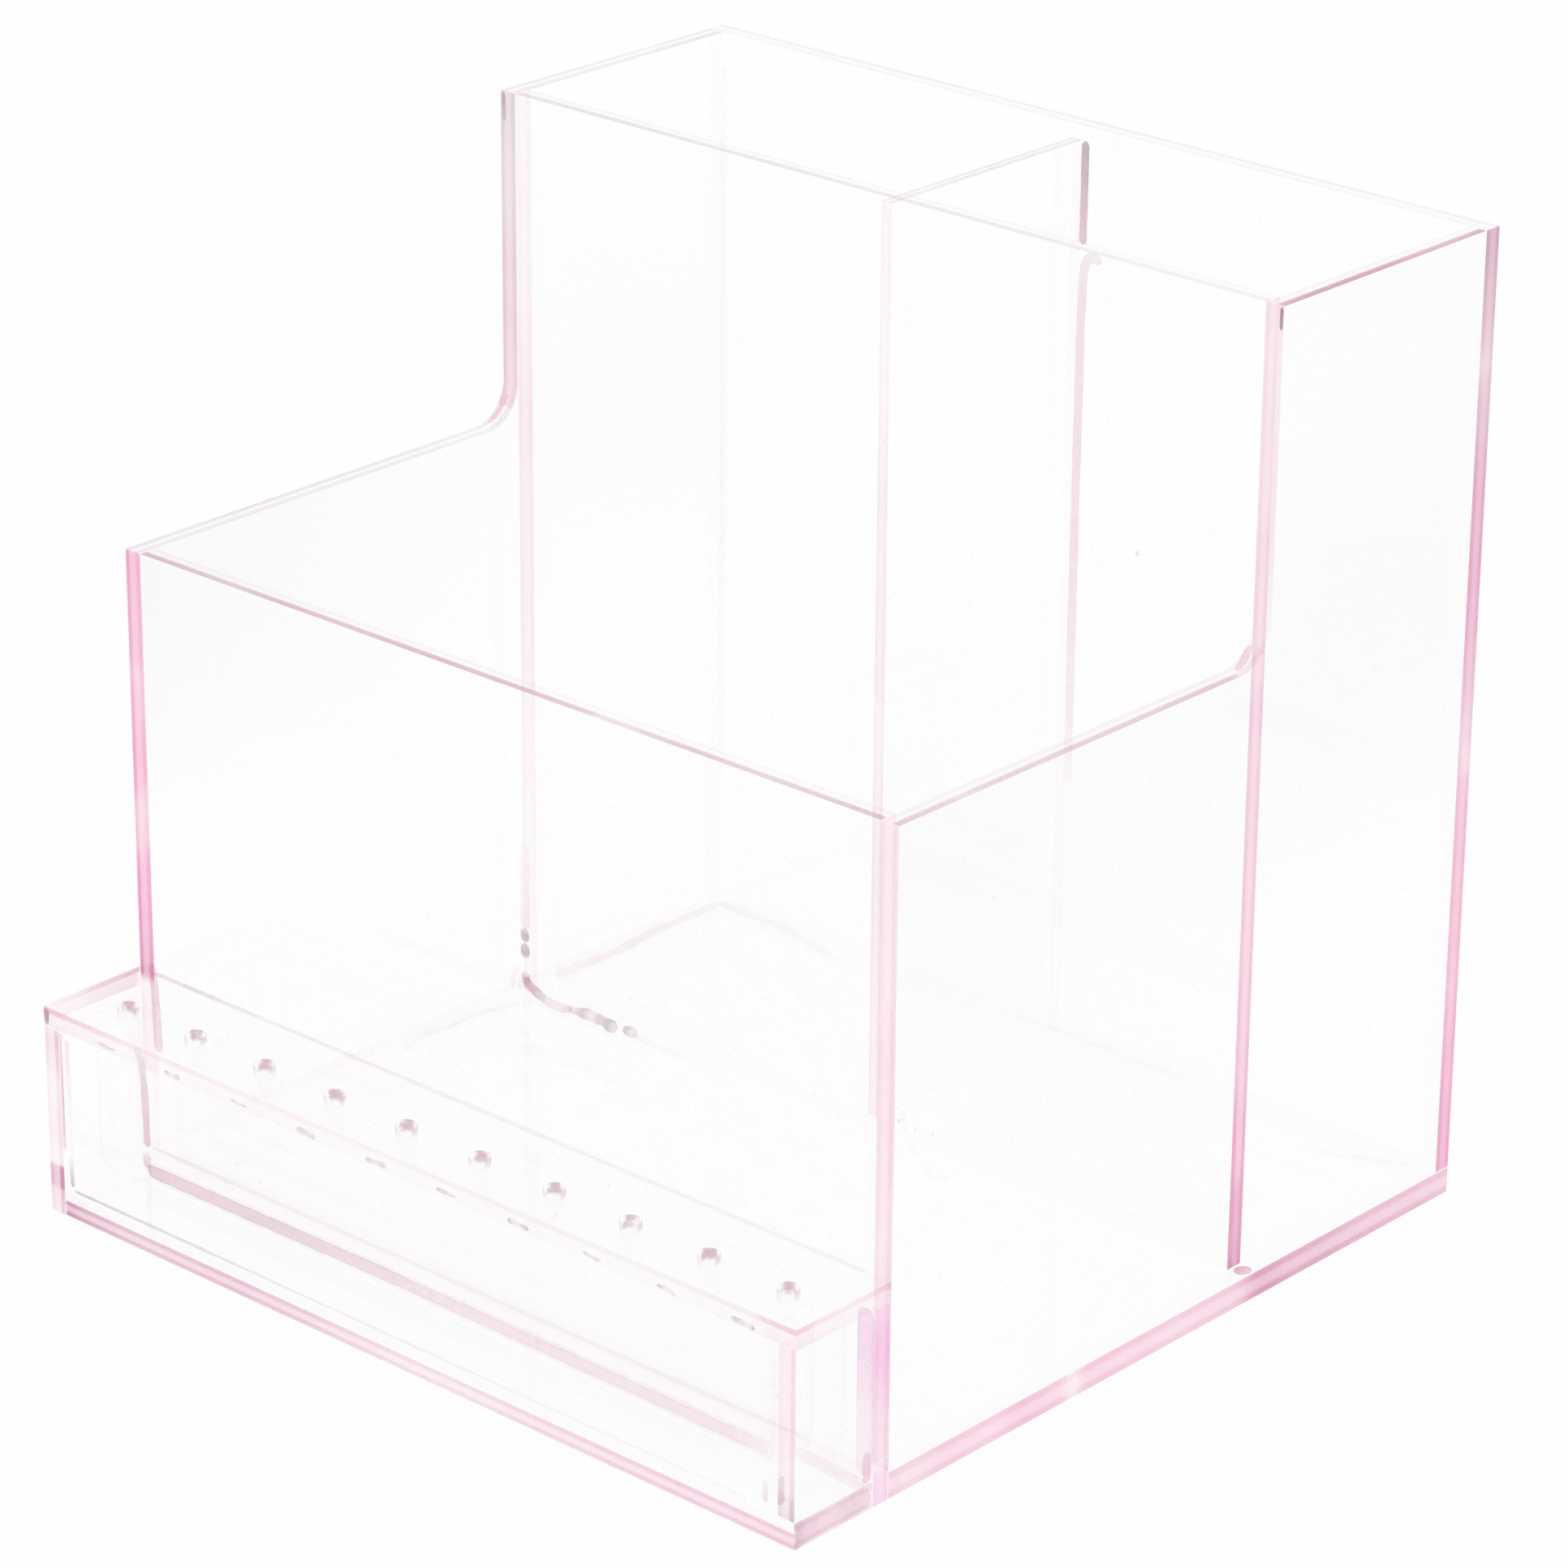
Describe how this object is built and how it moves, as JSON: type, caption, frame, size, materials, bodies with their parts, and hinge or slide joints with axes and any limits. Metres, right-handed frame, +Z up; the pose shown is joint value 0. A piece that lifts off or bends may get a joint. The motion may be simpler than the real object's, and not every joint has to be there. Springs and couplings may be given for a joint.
{
  "type": "brush holder with drawer",
  "caption": "Stepped clear brush holder of cemented tinted sheet, with a tool rack and a shallow moulded drawer along its foot.",
  "frame": {"origin": "on the ground, under the middle of the whole holder", "axes": "+X to the right, +Y to the back, +Z up; the rack and the drawer are at the front, towards -Y"},
  "size_m": [0.14, 0.138, 0.143],
  "materials": {
    "tinted_sheet": "clear cast acrylic sheet with a faint pink tint, polished faces and cut edges that look pink",
    "moulded_drawer": "clear moulded acrylic with a faint pink tint and rounded inside corners"
  },
  "bodies": {
    "holder": {"base_plate": "tinted_sheet", "left_side_panel": "tinted_sheet", "right_side_panel": "tinted_sheet", "front_panel": "tinted_sheet", "middle_panel": "tinted_sheet", "back_panel": "tinted_sheet", "brush_divider": "tinted_sheet", "rack_back_wall": "tinted_sheet", "rack_left_end": "tinted_sheet", "rack_right_end": "tinted_sheet", "rack_base_plate": "tinted_sheet", "rack_top_plate": "tinted_sheet"},
    "drawer": {"drawer": "moulded_drawer"}
  },
  "joints": [
    {"name": "drawer_slide", "type": "slide", "parent": "holder", "child": "drawer", "axis": [0, -1, 0], "range_m": [0, 0.013]}
  ]
}
